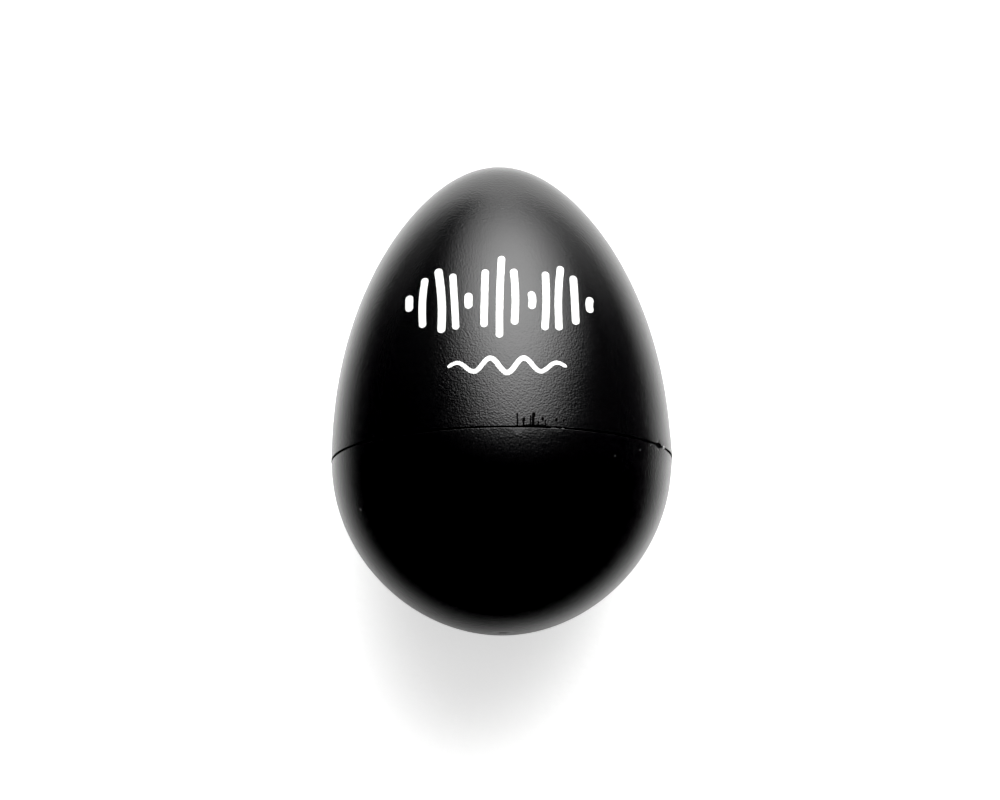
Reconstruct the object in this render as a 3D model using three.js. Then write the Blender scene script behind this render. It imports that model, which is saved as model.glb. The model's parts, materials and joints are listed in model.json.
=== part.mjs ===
// Egg shaker: two half shells of moulded plastic, cemented at the parting line round a loose
// charge of steel shot.
//
// Millimetres. The egg lies on its side: +Y runs along its axis to the pointed end and +Z is up.
// The origin is on the axis, in the parting plane, where the egg is widest.

import * as THREE from 'three';

// ---- Driving dimensions ----

const WIDTH = 42.0; // across the parting plane
const CAP_LENGTH = 37.5; // parting plane to the pointed end
const CUP_LENGTH = 21.5; // parting plane to the rounded end
const WALL = 2.0; // moulded wall, the same all over
const SEAM = 0.24; // groove between the two rims, which the cement fills

const SPIGOT_HEIGHT = 2.4; // how far the cup's lip stands up inside the cap
const SPIGOT_THICKNESS = 0.85;
const SPIGOT_CLEARANCE = 0.3; // round the lip, so that the halves slip together
const SPIGOT_CHAMFER = 0.25; // lead-in on the lip's outer edge
const CEMENT_SETBACK = 0.18; // cement line below the outer surface
const CEMENT_CROWN = 0.06; // bulge of its visible face

const SHOT_DIAMETER = 4.5;
const SHOT_PITCH = 4.7; // between neighbours, in plan
const SHOT_COUNT = 40;
const SHOT_CLEARANCE = 0.25; // between a resting pellet and the wall

const ROUND_SEGMENTS = 64; // round every turned piece
const OUTER_STEPS = 15; // along an outer wall, from rim to pole
const INNER_STEPS = 11; // along an inner wall
const PELLET_DETAIL = 1; // subdivisions of a pellet's icosahedron

// ---- Finishes ----

const SHELL_BLACK = new THREE.MeshStandardMaterial({ color: 0x0b0b0c, roughness: 0.45, metalness: 0 });
const CEMENT_DARK = new THREE.MeshStandardMaterial({ color: 0x050505, roughness: 0.3, metalness: 0 });
const SHOT_STEEL = new THREE.MeshStandardMaterial({ color: 0x9a9b9d, roughness: 0.35, metalness: 0.9 });

// ---- The egg's outline ----

// Each end is half an ellipse, eased by a small polynomial: the cap narrows towards its point and
// the cup stays a little fuller than an ellipse before it closes.
const CAP = { side: 1, length: CAP_LENGTH, squareTerm: -0.051, fourthTerm: -0.06 };
const CUP = { side: -1, length: CUP_LENGTH, squareTerm: -0.025, fourthTerm: -0.021 };

const INNER_RADIUS = WIDTH / 2 - WALL;
const SPIGOT_RADIUS = INNER_RADIUS + SPIGOT_THICKNESS;
const REBATE_RADIUS = SPIGOT_RADIUS + SPIGOT_CLEARANCE;
const RIM = SEAM / 2; // each rim's distance from the parting plane

// Radius of one end at a distance from the parting plane, with the whole outline drawn in by inset.
function endRadius(end, distance, inset = 0) {
  const t = distance / (end.length - inset);
  const easing = 1 + end.squareTerm * t ** 2 + end.fourthTerm * t ** 4;
  return (WIDTH / 2 - inset) * Math.sqrt(Math.max(0, 1 - t ** 2)) * easing;
}

// One wall of an end as profile points (radius, y), from a distance near the rim to the pole.
function wallProfile(end, inset, fromDistance, steps) {
  const length = end.length - inset;
  const startAngle = Math.asin(fromDistance / length);
  return Array.from({ length: steps + 1 }, (_, step) => {
    const angle = THREE.MathUtils.lerp(startAngle, Math.PI / 2, step / steps);
    const distance = length * Math.sin(angle);
    return new THREE.Vector2(endRadius(end, distance, inset), end.side * distance);
  });
}

// ---- Turned pieces ----

// Pointed half: inner wall, square shoulder and rebate for the cup's lip, flat rim, outer wall.
function upperShellProfile() {
  const inner = wallProfile(CAP, WALL, SPIGOT_HEIGHT, INNER_STEPS).reverse();
  const outer = wallProfile(CAP, 0, RIM, OUTER_STEPS);
  return [
    ...inner,
    new THREE.Vector2(REBATE_RADIUS, SPIGOT_HEIGHT),
    new THREE.Vector2(REBATE_RADIUS, RIM),
    ...outer,
  ];
}

// Rounded half: outer wall, flat ledge, lip that stands up into the cap, inner wall.
function lowerShellProfile() {
  const outer = wallProfile(CUP, 0, RIM, OUTER_STEPS).reverse();
  const inner = wallProfile(CUP, WALL, 0, INNER_STEPS);
  return [
    ...outer,
    new THREE.Vector2(SPIGOT_RADIUS, -RIM),
    new THREE.Vector2(SPIGOT_RADIUS, SPIGOT_HEIGHT - SPIGOT_CHAMFER),
    new THREE.Vector2(SPIGOT_RADIUS - SPIGOT_CHAMFER, SPIGOT_HEIGHT),
    new THREE.Vector2(INNER_RADIUS, SPIGOT_HEIGHT),
    ...inner,
  ];
}

// Ring of set cement between the two rims, standing back from the surface.
function cementProfile() {
  const face = WIDTH / 2 - CEMENT_SETBACK;
  const start = new THREE.Vector2(REBATE_RADIUS, RIM);
  return [
    start,
    new THREE.Vector2(REBATE_RADIUS, -RIM),
    new THREE.Vector2(face - CEMENT_CROWN, -RIM),
    new THREE.Vector2(face, 0),
    new THREE.Vector2(face - CEMENT_CROWN, RIM),
    start.clone(),
  ];
}

function turnedPiece(name, profile, material) {
  const mesh = new THREE.Mesh(new THREE.LatheGeometry(profile, ROUND_SEGMENTS), material);
  mesh.name = name;
  return mesh;
}

// ---- Shot ----

// Height at which a pellet's centre comes to rest on the inner wall, or null outside the chamber.
function seatHeight(x, y) {
  const inset = WALL + SHOT_DIAMETER / 2 + SHOT_CLEARANCE;
  const end = y >= 0 ? CAP : CUP;
  if (Math.abs(y) >= end.length - inset) {
    return null;
  }
  const room = endRadius(end, Math.abs(y), inset) ** 2 - x ** 2;
  return room > 0 ? -Math.sqrt(room) : null;
}

// Seats on a hexagonal lattice in plan, wide enough for each pellet to rise past its neighbours.
// The charge pools in the lowest seats.
function shotSeats() {
  const rowPitch = SHOT_PITCH * Math.sin(Math.PI / 3);
  const reach = Math.ceil(CAP_LENGTH / rowPitch);
  const seats = [];
  for (let row = -reach; row <= reach; row++) {
    const stagger = Math.abs(row % 2) / 2;
    for (let column = -reach; column <= reach; column++) {
      const x = (column + stagger) * SHOT_PITCH;
      const y = row * rowPitch;
      const z = seatHeight(x, y);
      if (z !== null) {
        seats.push(new THREE.Vector3(x, y, z));
      }
    }
  }
  return seats.sort((a, b) => a.z - b.z).slice(0, SHOT_COUNT);
}

function pellet(seat, index) {
  const geometry = new THREE.IcosahedronGeometry(SHOT_DIAMETER / 2, PELLET_DETAIL);
  const mesh = new THREE.Mesh(geometry, SHOT_STEEL);
  mesh.name = `shot_${String(index + 1).padStart(2, '0')}`;
  mesh.position.copy(seat);
  return mesh;
}

// ---- Assembly ----

const shell = new THREE.Group();
shell.add(turnedPiece('upper_shell', upperShellProfile(), SHELL_BLACK));
shell.add(turnedPiece('lower_shell', lowerShellProfile(), SHELL_BLACK));
shell.add(turnedPiece('cement_bead', cementProfile(), CEMENT_DARK));

const charge = new THREE.Group();
charge.add(...shotSeats().map(pellet));

const eggShaker = new THREE.Group();
eggShaker.add(shell, charge);

export default eggShaker;
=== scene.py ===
"""Looks for the egg shaker: its two moulded halves, print, cement and shot, on a white table.

Everything is in metres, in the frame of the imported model: +Y runs along the egg's axis to its
pointed end, +Z is up as the egg lies on its side, and the origin is on the axis in the parting
plane. A place on the egg's wall is given by its angle round the axis, from the top (+Z) towards
+X, and by its y along the axis.
"""

import json
import logging
import math
import random
from dataclasses import dataclass, field
from enum import Enum
from typing import Callable, Iterable, Optional, Protocol, Union

import bmesh
import bpy
from mathutils import Matrix, Vector, noise


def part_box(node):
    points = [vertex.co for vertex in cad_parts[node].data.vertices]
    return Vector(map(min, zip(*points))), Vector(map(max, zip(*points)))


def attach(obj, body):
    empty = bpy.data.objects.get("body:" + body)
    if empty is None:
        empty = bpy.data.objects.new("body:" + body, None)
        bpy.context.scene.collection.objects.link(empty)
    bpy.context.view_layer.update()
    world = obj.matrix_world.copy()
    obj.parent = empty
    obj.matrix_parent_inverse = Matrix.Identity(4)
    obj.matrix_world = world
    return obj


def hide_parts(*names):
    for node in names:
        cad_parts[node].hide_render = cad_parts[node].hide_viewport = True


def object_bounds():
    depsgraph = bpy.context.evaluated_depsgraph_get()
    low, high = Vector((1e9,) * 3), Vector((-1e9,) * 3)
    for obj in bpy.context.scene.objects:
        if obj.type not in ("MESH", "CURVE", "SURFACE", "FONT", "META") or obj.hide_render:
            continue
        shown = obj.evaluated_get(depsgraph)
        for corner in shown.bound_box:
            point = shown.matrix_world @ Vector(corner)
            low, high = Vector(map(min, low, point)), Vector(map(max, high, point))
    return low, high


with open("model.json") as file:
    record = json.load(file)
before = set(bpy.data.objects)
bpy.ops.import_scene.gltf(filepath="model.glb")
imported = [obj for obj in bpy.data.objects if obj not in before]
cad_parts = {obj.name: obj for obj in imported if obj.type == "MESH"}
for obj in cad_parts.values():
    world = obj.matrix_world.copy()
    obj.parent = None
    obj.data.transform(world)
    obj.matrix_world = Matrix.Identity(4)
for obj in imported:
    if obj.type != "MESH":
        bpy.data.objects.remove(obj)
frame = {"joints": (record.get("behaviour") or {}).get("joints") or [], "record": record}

CAD_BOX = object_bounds()
BODY = "egg"
MM = 0.001
SINK = 0.04 * MM
HAIR = 0.01 * MM
WHITE = (1, 1, 1, 1)
LOG = logging.getLogger("egg_shaker")

Socket = bpy.types.NodeSocket
Value = Union[bpy.types.NodeSocket, float]
Color = tuple[float, float, float]
Point = tuple[float, float]
Span = tuple[float, float]


# ---------------------------------------------------------------------------
# The egg's form
# ---------------------------------------------------------------------------


@dataclass(frozen=True)
class EggEnd:
    """One end of the egg: half an ellipse eased by a small polynomial.

    Args:
        side: +1 for the pointed end, -1 for the rounded end.
        length: Distance from the parting plane to the pole.
        square_term: Easing of the ellipse with the square of the distance.
        fourth_term: Easing of the ellipse with its fourth power.
    """

    side: int
    length: float
    square_term: float
    fourth_term: float


@dataclass(frozen=True)
class EggForm:
    """The egg's outer form, with the slight lip that both mouldings have at the parting line.

    Args:
        radius: Radius at the parting plane.
        cap: The pointed end.
        cup: The rounded end.
        rim: Distance of each rim from the parting plane.
        lip_height: Stand of the pointed half's lip all round.
        lip_spring: Extra stand on the +X side, where the halves sprang apart a little.
        cap_lip_reach: Length over which the pointed half flares to its lip.
        cup_lip_reach: The same on the rounded half.
    """

    radius: float
    cap: EggEnd
    cup: EggEnd
    rim: float
    lip_height: float = 0.03 * MM
    lip_spring: float = 0.09 * MM
    cap_lip_reach: float = 2.4 * MM
    cup_lip_reach: float = 1.2 * MM

    @classmethod
    def from_frame(cls) -> "EggForm":
        """Reads the egg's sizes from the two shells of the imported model.

        Returns:
            The form.
        """
        cap_low, cap_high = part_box("upper_shell")
        cup_low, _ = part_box("lower_shell")
        return cls(
            radius=cap_high.x,
            cap=EggEnd(side=1, length=cap_high.y, square_term=-0.051, fourth_term=-0.06),
            cup=EggEnd(side=-1, length=-cup_low.y, square_term=-0.025, fourth_term=-0.021),
            rim=0.75 * cap_low.y,
        )

    def end_at(self, y: float) -> EggEnd:
        """Returns the end that a place along the axis lies on."""
        return self.cap if y >= 0 else self.cup

    def radius_at(self, y: float, inset: float = 0.0) -> float:
        """Measures the plain outline.

        Args:
            y: Place along the axis.
            inset: How far the outline is drawn in.

        Returns:
            The radius there.
        """
        end = self.end_at(y)
        t = min(abs(y) / (end.length - inset), 1.0)
        easing = 1 + end.square_term * t**2 + end.fourth_term * t**4
        return (self.radius - inset) * math.sqrt(1 - t**2) * easing

    def lip_at(self, angle: float, y: float) -> float:
        """Measures the lip at the parting line.

        Args:
            angle: Angle round the axis, from the top towards +X.
            y: Place along the axis.

        Returns:
            How far the lip stands proud there.
        """
        towards_x = (0.5 + 0.5 * math.sin(angle)) ** 3
        stand = (self.lip_height if y >= 0 else 0.0) + self.lip_spring * towards_x
        reach = self.cap_lip_reach if y >= 0 else self.cup_lip_reach
        away = max(abs(y) - self.rim, 0.0) / reach
        return stand * math.exp(-(away**2))

    def wall_point(self, angle: float, y: float, lift: float = 0.0) -> Vector:
        """Places a point over the wall.

        Args:
            angle: Angle round the axis, from the top towards +X.
            y: Place along the axis.
            lift: Height over the wall.

        Returns:
            The point.
        """
        r = self.radius_at(y) + self.lip_at(angle, y) + lift
        return Vector((r * math.sin(angle), y, r * math.cos(angle)))

    def plan_point(self, x: float, y: float, lift: float = 0.0) -> Vector:
        """Places a point over the wall straight above a place in plan, as pad printing does."""
        return self.wall_point(math.asin(x / self.radius_at(y)), y, lift)

    def girth_point(self, along: float, y: float, lift: float = 0.0) -> Vector:
        """Places a point over the wall at a length along the egg's girth from the top."""
        return self.wall_point(along / self.radius, y, lift)


# ---------------------------------------------------------------------------
# Mesh helpers
# ---------------------------------------------------------------------------


def mesh_object(name: str, bm: bmesh.types.BMesh, smooth_angle: float = 35.0) -> bpy.types.Object:
    """Turns a bmesh into a scene object with smooth faces and sharp corners.

    Args:
        name: Name of the object and its mesh.
        bm: The finished bmesh, which is freed.
        smooth_angle: Edges turning by more degrees than this stay sharp.

    Returns:
        The new object, at the origin.
    """
    for edge in bm.edges:
        edge.smooth = not (edge.is_manifold and edge.calc_face_angle(0) > math.radians(smooth_angle))
    for face in bm.faces:
        face.smooth = True
    mesh = bpy.data.meshes.new(name)
    bm.to_mesh(mesh)
    bm.free()
    obj = bpy.data.objects.new(name, mesh)
    bpy.context.scene.collection.objects.link(obj)
    return obj


def turn_profile(profile: list[Point], steps: int) -> bmesh.types.BMesh:
    """Turns a profile round the Y axis into a closed solid.

    Args:
        profile: (radius, y) points, from axis to axis or closed on itself.
        steps: Facets round the axis.

    Returns:
        The turned bmesh, with its normals outwards.
    """
    bm = bmesh.new()
    verts = [bm.verts.new((0.0, y, r)) for r, y in profile]
    edges = [bm.edges.new(pair) for pair in zip(verts, verts[1:])]
    if profile[0][0] > 0 or profile[-1][0] > 0:
        edges.append(bm.edges.new((verts[-1], verts[0])))
    bmesh.ops.spin(
        bm, geom=verts + edges, cent=(0, 0, 0), axis=(0, 1, 0), angle=math.tau, steps=steps,
        use_merge=True,
    )
    bmesh.ops.remove_doubles(bm, verts=bm.verts, dist=1e-7)
    bmesh.ops.recalc_face_normals(bm, faces=bm.faces)
    return bm


def arc(centre: Point, radius: float, start: float, end: float, steps: int) -> list[Point]:
    """Draws a circular arc in a section.

    Args:
        centre: Its centre, as (radius, y).
        radius: Its own radius.
        start: Angle at which it starts, in degrees from the direction of growing radius.
        end: Angle at which it ends.
        steps: Facets along it.

    Returns:
        The (radius, y) points along it.
    """
    points = []
    for step in range(steps + 1):
        angle = math.radians(start + (end - start) * step / steps)
        points.append((centre[0] + radius * math.cos(angle), centre[1] + radius * math.sin(angle)))
    return points


def angle_at(co: Vector) -> float:
    """Returns a point's angle round the axis, from the top towards +X."""
    return math.atan2(co.x, co.z)


def bell(distance: float, width: float) -> float:
    """Returns a smooth hump that is 1 at no distance and fades over the width."""
    return math.exp(-((distance / width) ** 2))


# ---------------------------------------------------------------------------
# Materials
# ---------------------------------------------------------------------------


class Graph:
    """A material's node graph, with short calls to add and join nodes."""

    def __init__(self, name: str) -> None:
        """Starts a material of one Principled shader.

        Args:
            name: The material's name.
        """
        self.material = bpy.data.materials.new(name)
        self.material.use_nodes = True
        self.tree = self.material.node_tree
        self.tree.nodes.clear()
        self.shader = self.add("ShaderNodeBsdfPrincipled")
        output = self.add("ShaderNodeOutputMaterial")
        self.join(self.shader.outputs["BSDF"], output.inputs["Surface"])
        self.place = self.add("ShaderNodeTexCoord").outputs["Object"]

    def add(self, kind: str, **settings: str) -> bpy.types.Node:
        """Adds a node.

        Args:
            kind: The node's type.
            settings: Its properties.

        Returns:
            The node.
        """
        node = self.tree.nodes.new(kind)
        for key, value in settings.items():
            setattr(node, key, value)
        return node

    def join(self, output: Socket, target: Socket) -> None:
        """Links an output to an input."""
        self.tree.links.new(output, target)

    def noise(self, size: float, detail: float = 2.0, rough: float = 0.5, warp: float = 0.0,
              stretch: tuple[float, float, float] = (1, 1, 1), turn: float = 0.0) -> Socket:
        """Adds noise whose features are about size across.

        Args:
            size: Feature size in metres.
            detail: Octaves.
            rough: Weight of the finer octaves.
            warp: Distortion.
            stretch: Scale of the pattern along each axis.
            turn: Turn of the pattern round Z, in degrees.

        Returns:
            The noise's value socket.
        """
        place = self.place
        if stretch != (1, 1, 1) or turn:
            mapping = self.add("ShaderNodeMapping")
            mapping.inputs["Scale"].default_value = stretch
            mapping.inputs["Rotation"].default_value = (0, 0, math.radians(turn))
            self.join(place, mapping.inputs["Vector"])
            place = mapping.outputs["Vector"]
        node = self.add("ShaderNodeTexNoise")
        node.inputs["Scale"].default_value = 1 / size
        node.inputs["Detail"].default_value = detail
        node.inputs["Roughness"].default_value = rough
        node.inputs["Distortion"].default_value = warp
        self.join(place, node.inputs["Vector"])
        return node.outputs["Fac"]

    def cells(self, size: float, smoothness: float = 0.6) -> Socket:
        """Adds soft cells.

        Args:
            size: Their width in metres.
            smoothness: How softly they meet.

        Returns:
            Their height.
        """
        node = self.add("ShaderNodeTexVoronoi", feature="SMOOTH_F1")
        node.inputs["Scale"].default_value = 1 / size
        node.inputs["Smoothness"].default_value = smoothness
        self.join(self.place, node.inputs["Vector"])
        return node.outputs["Distance"]

    def fit(self, value: Socket, low: float, high: float, to_low: float, to_high: float) -> Socket:
        """Maps a value's range to another, clamped.

        Args:
            value: The value.
            low: Start of its range.
            high: End of its range.
            to_low: Start of the new range.
            to_high: End of the new range.

        Returns:
            The mapped value.
        """
        node = self.add("ShaderNodeMapRange")
        for key, number in (
            ("From Min", low), ("From Max", high), ("To Min", to_low), ("To Max", to_high)
        ):
            node.inputs[key].default_value = number
        self.join(value, node.inputs["Value"])
        return node.outputs["Result"]

    def sum(self, first: Socket, second: Socket, weight: float = 1.0) -> Socket:
        """Returns first + weight * second."""
        return self.math("MULTIPLY_ADD", second, weight, first)

    def math(self, operation: str, *values: Value) -> Socket:
        """Adds a math operation.

        Args:
            operation: Its name.
            values: The sockets and numbers that it works on.

        Returns:
            Its result.
        """
        node = self.add("ShaderNodeMath", operation=operation)
        for target, value in zip(node.inputs, values):
            if isinstance(value, (int, float)):
                target.default_value = value
            else:
                self.join(value, target)
        return node.outputs[0]

    def parts(self) -> tuple[Socket, ...]:
        """Takes the place on the object apart.

        Returns:
            Its x, y and z.
        """
        node = self.add("ShaderNodeSeparateXYZ")
        self.join(self.place, node.inputs[0])
        return tuple(node.outputs)

    def attribute(self, name: str) -> Socket:
        """Returns the value of one of the mesh's own attributes."""
        return self.add("ShaderNodeAttribute", attribute_name=name).outputs["Fac"]

    def blend(self, value: Socket, low: Color, high: Color) -> Socket:
        """Blends two colours.

        Args:
            value: How far from the first to the second.
            low: The first colour.
            high: The second.

        Returns:
            The blended colour.
        """
        node = self.add("ShaderNodeMix", data_type="RGBA")
        self.join(value, node.inputs["Factor"])
        node.inputs["A"].default_value = (*low, 1)
        node.inputs["B"].default_value = (*high, 1)
        return node.outputs["Result"]

    def bump(self, height: Socket, depth: float, strength: float = 1.0) -> Socket:
        """Adds a bump.

        Args:
            height: Its height, from 0 to 1.
            depth: Its depth in metres.
            strength: Its strength.

        Returns:
            The bumped normal.
        """
        node = self.add("ShaderNodeBump")
        node.inputs["Distance"].default_value = depth
        node.inputs["Strength"].default_value = strength
        self.join(height, node.inputs["Height"])
        return node.outputs["Normal"]

    def dress(self, color: Optional[Socket] = None, roughness: Optional[Socket] = None,
              normal: Optional[Socket] = None) -> None:
        """Joins what is given to the shader.

        Args:
            color: Its colour.
            roughness: Its roughness.
            normal: Its normal.
        """
        for socket, key in ((color, "Base Color"), (roughness, "Roughness"), (normal, "Normal")):
            if socket is not None:
                self.join(socket, self.shader.inputs[key])

    def constant(self, key: str, value: Union[float, tuple[float, ...]]) -> None:
        """Sets one of the shader's own sockets."""
        self.shader.inputs[key].default_value = value


class Recipe(Protocol):
    """Anything that can build a material."""

    def build(self) -> bpy.types.Material:
        """Builds the material."""


@dataclass(frozen=True)
class ShellPlastic:
    """Satin black moulded plastic with a fine leather grain.

    Args:
        shade: Colour of clean plastic.
        rubbed: Colour where it is rubbed pale.
        roughness: Roughness of the clean grain.
        bloom: Weight of the pale bloom that the grain shows at a glancing angle.
        bloom_spread: Roughness of that bloom.
        grain_size: Width of the grain's pebbles.
        grain_depth: Height of the grain.
        wrinkle: Width of the wrinkles between the pebbles, as a share of theirs.
        wrinkle_turn: Turn of the wrinkles, in degrees.
        pebble_weight: Height of the pebbles, as a share of the wrinkles'.
        handling: Size of the patches that handling has polished.
        worn_roughness: Extra roughness where it is fully rubbed.
    """

    shade: Color = (0.0035, 0.0035, 0.0037)
    rubbed: Color = (0.02, 0.02, 0.021)
    roughness: float = 0.19
    bloom: float = 0.03
    bloom_spread: float = 0.3
    grain_size: float = 0.25 * MM
    grain_depth: float = 0.022 * MM
    wrinkle: float = 0.8
    wrinkle_turn: float = 35.0
    pebble_weight: float = 0.7
    handling: float = 9 * MM
    worn_roughness: float = 0.15

    def build(self) -> bpy.types.Material:
        """Builds the material from the grain and from the shells' wear attribute.

        Returns:
            The material.
        """
        graph = Graph("shell_plastic")
        wear = graph.attribute("wear")
        handling = graph.noise(self.handling, detail=4, rough=0.6)
        pebbles = graph.cells(self.grain_size)
        wrinkles = graph.noise(self.wrinkle * self.grain_size, detail=1, turn=self.wrinkle_turn)
        grain = graph.sum(wrinkles, pebbles, self.pebble_weight)
        polish = graph.fit(handling, 0.35, 0.7, self.roughness - 0.01, self.roughness + 0.02)
        graph.dress(
            graph.blend(wear, self.shade, self.rubbed),
            graph.sum(polish, wear, self.worn_roughness),
            graph.bump(grain, self.grain_depth),
        )
        graph.constant("Sheen Weight", self.bloom)
        graph.constant("Sheen Roughness", self.bloom_spread)
        return graph.material


@dataclass(frozen=True)
class PrintInk:
    """White pad-printing ink, thin enough for the plastic's grain to show through.

    Args:
        shade: Colour of a full film of ink.
        thin: Colour where the film is thin.
        patch: Size of the film's thick and thin patches.
        grain_size: Size of the grain that shows through.
        grain_depth: Height of that grain.
        gloss: Lowest and highest roughness.
    """

    shade: Color = (0.9, 0.9, 0.89)
    thin: Color = (0.62, 0.62, 0.62)
    patch: float = 0.3 * MM
    grain_size: float = 0.42 * MM
    grain_depth: float = 0.01 * MM
    gloss: Span = (0.45, 0.6)

    def build(self) -> bpy.types.Material:
        """Builds the material, with pinholes where the film is thinnest.

        Returns:
            The material.
        """
        graph = Graph("print_ink")
        film = graph.noise(self.patch, detail=3, rough=0.6)
        pinholes = graph.fit(film, 0.28, 0.36, 1.0, 0.0)
        grain = graph.noise(self.grain_size, detail=3, rough=0.6, warp=0.6)
        graph.dress(
            graph.blend(pinholes, self.shade, self.thin),
            graph.fit(film, 0.3, 0.7, *self.gloss),
            graph.bump(grain, self.grain_depth),
        )
        return graph.material


@dataclass(frozen=True)
class SetCement:
    """Set solvent cement: the shell's own plastic, melted and dull, with almost no gloss so that it
    reads black: partly real cement, partly painted shade in the seam and the nick.

    Args:
        shade: Its colour.
        roughness: Its roughness.
        index: Its refractive index, set near 1 so that it has almost no gloss: partly dull cement,
            partly painted shade that keeps the seam and the nick black.
        flow: Size of the marks that its flow left.
        flow_depth: Height of those marks.
    """

    shade: Color = (0.0032, 0.0032, 0.0032)
    roughness: float = 0.62
    index: float = 1.04
    flow: float = 0.3 * MM
    flow_depth: float = 0.02 * MM

    def build(self) -> bpy.types.Material:
        """Builds the material.

        Returns:
            The material.
        """
        graph = Graph("cement")
        flow = graph.noise(self.flow, detail=3)
        graph.dress(
            graph.blend(flow, self.shade, tuple(2 * c for c in self.shade)),
            graph.fit(flow, 0.3, 0.7, self.roughness - 0.08, self.roughness + 0.1),
            graph.bump(flow, self.flow_depth),
        )
        # An index near 1 takes the gloss away, so the cement reads as black painted shade in the
        # seam and the nick.
        graph.constant("IOR", self.index)
        return graph.material


@dataclass(frozen=True)
class TornPlastic:
    """Black plastic torn or scraped pale, as on a burr or a speck of swarf.

    Args:
        shade: Its darkest colour.
        pale: Its palest.
        name: Name of the material.
        fibre: Thickness of the torn fibres.
        fibre_depth: Height of those fibres.
        gloss: Lowest and highest roughness.
    """

    shade: Color = (0.03, 0.03, 0.03)
    pale: Color = (0.2, 0.2, 0.2)
    name: str = "torn_plastic"
    fibre: float = 0.08 * MM
    fibre_depth: float = 0.01 * MM
    gloss: Span = (0.5, 0.7)

    def build(self) -> bpy.types.Material:
        """Builds the material, its fibres drawn out along the axis.

        Returns:
            The material.
        """
        graph = Graph(self.name)
        fibres = graph.noise(self.fibre, detail=3, stretch=(1, 0.3, 1))
        graph.dress(
            graph.blend(fibres, self.shade, self.pale),
            graph.fit(fibres, 0.3, 0.7, *self.gloss),
            graph.bump(fibres, self.fibre_depth),
        )
        return graph.material


@dataclass(frozen=True)
class ShotSteel:
    """Tumbled steel shot, bright with small peening marks.

    Args:
        bright: Colour of clean steel.
        dull: Colour where it is stained.
        stain: Size of the stains.
        dent: Width of a peening mark.
        dent_depth: Depth of those marks.
        gloss: Lowest and highest roughness.
    """

    bright: Color = (0.6, 0.6, 0.61)
    dull: Color = (0.36, 0.355, 0.35)
    stain: float = 1.6 * MM
    dent: float = 0.35 * MM
    dent_depth: float = 0.012 * MM
    gloss: Span = (0.22, 0.42)

    def build(self) -> bpy.types.Material:
        """Builds the material.

        Returns:
            The material.
        """
        graph = Graph("shot_steel")
        stain = graph.noise(self.stain, detail=4)
        peening = graph.cells(self.dent, smoothness=0.4)
        graph.dress(
            graph.blend(graph.fit(stain, 0.4, 0.7, 0.0, 1.0), self.bright, self.dull),
            graph.fit(stain, 0.35, 0.7, *self.gloss),
            graph.bump(peening, self.dent_depth),
        )
        graph.constant("Metallic", 1.0)
        return graph.material


@dataclass(frozen=True)
class TablePaper:
    """White paper under the egg, with a faint tooth.

    Args:
        shade: Its colour.
        glow: Light that it gives off by itself.
        tooth: Size of its tooth.
        tooth_depth: Height of its tooth.
        roughness: Its roughness.
        gloss: Its gloss.
    """

    shade: Color = (0.93, 0.93, 0.925)
    glow: float = 0.0
    tooth: float = 1.1 * MM
    tooth_depth: float = 0.12 * MM
    roughness: float = 0.9
    gloss: float = 0.2

    def build(self) -> bpy.types.Material:
        """Builds the material.

        Returns:
            The material.
        """
        graph = Graph("table_paper")
        tooth = graph.noise(self.tooth, detail=4, rough=0.6)
        color = graph.blend(tooth, self.shade, tuple(0.97 * c for c in self.shade))
        graph.dress(color, None, graph.bump(tooth, self.tooth_depth, 0.6))
        graph.constant("Roughness", self.roughness)
        graph.constant("Emission Color", WHITE)
        graph.constant("Emission Strength", self.glow)
        graph.constant("Specular IOR Level", self.gloss)
        return graph.material


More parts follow.
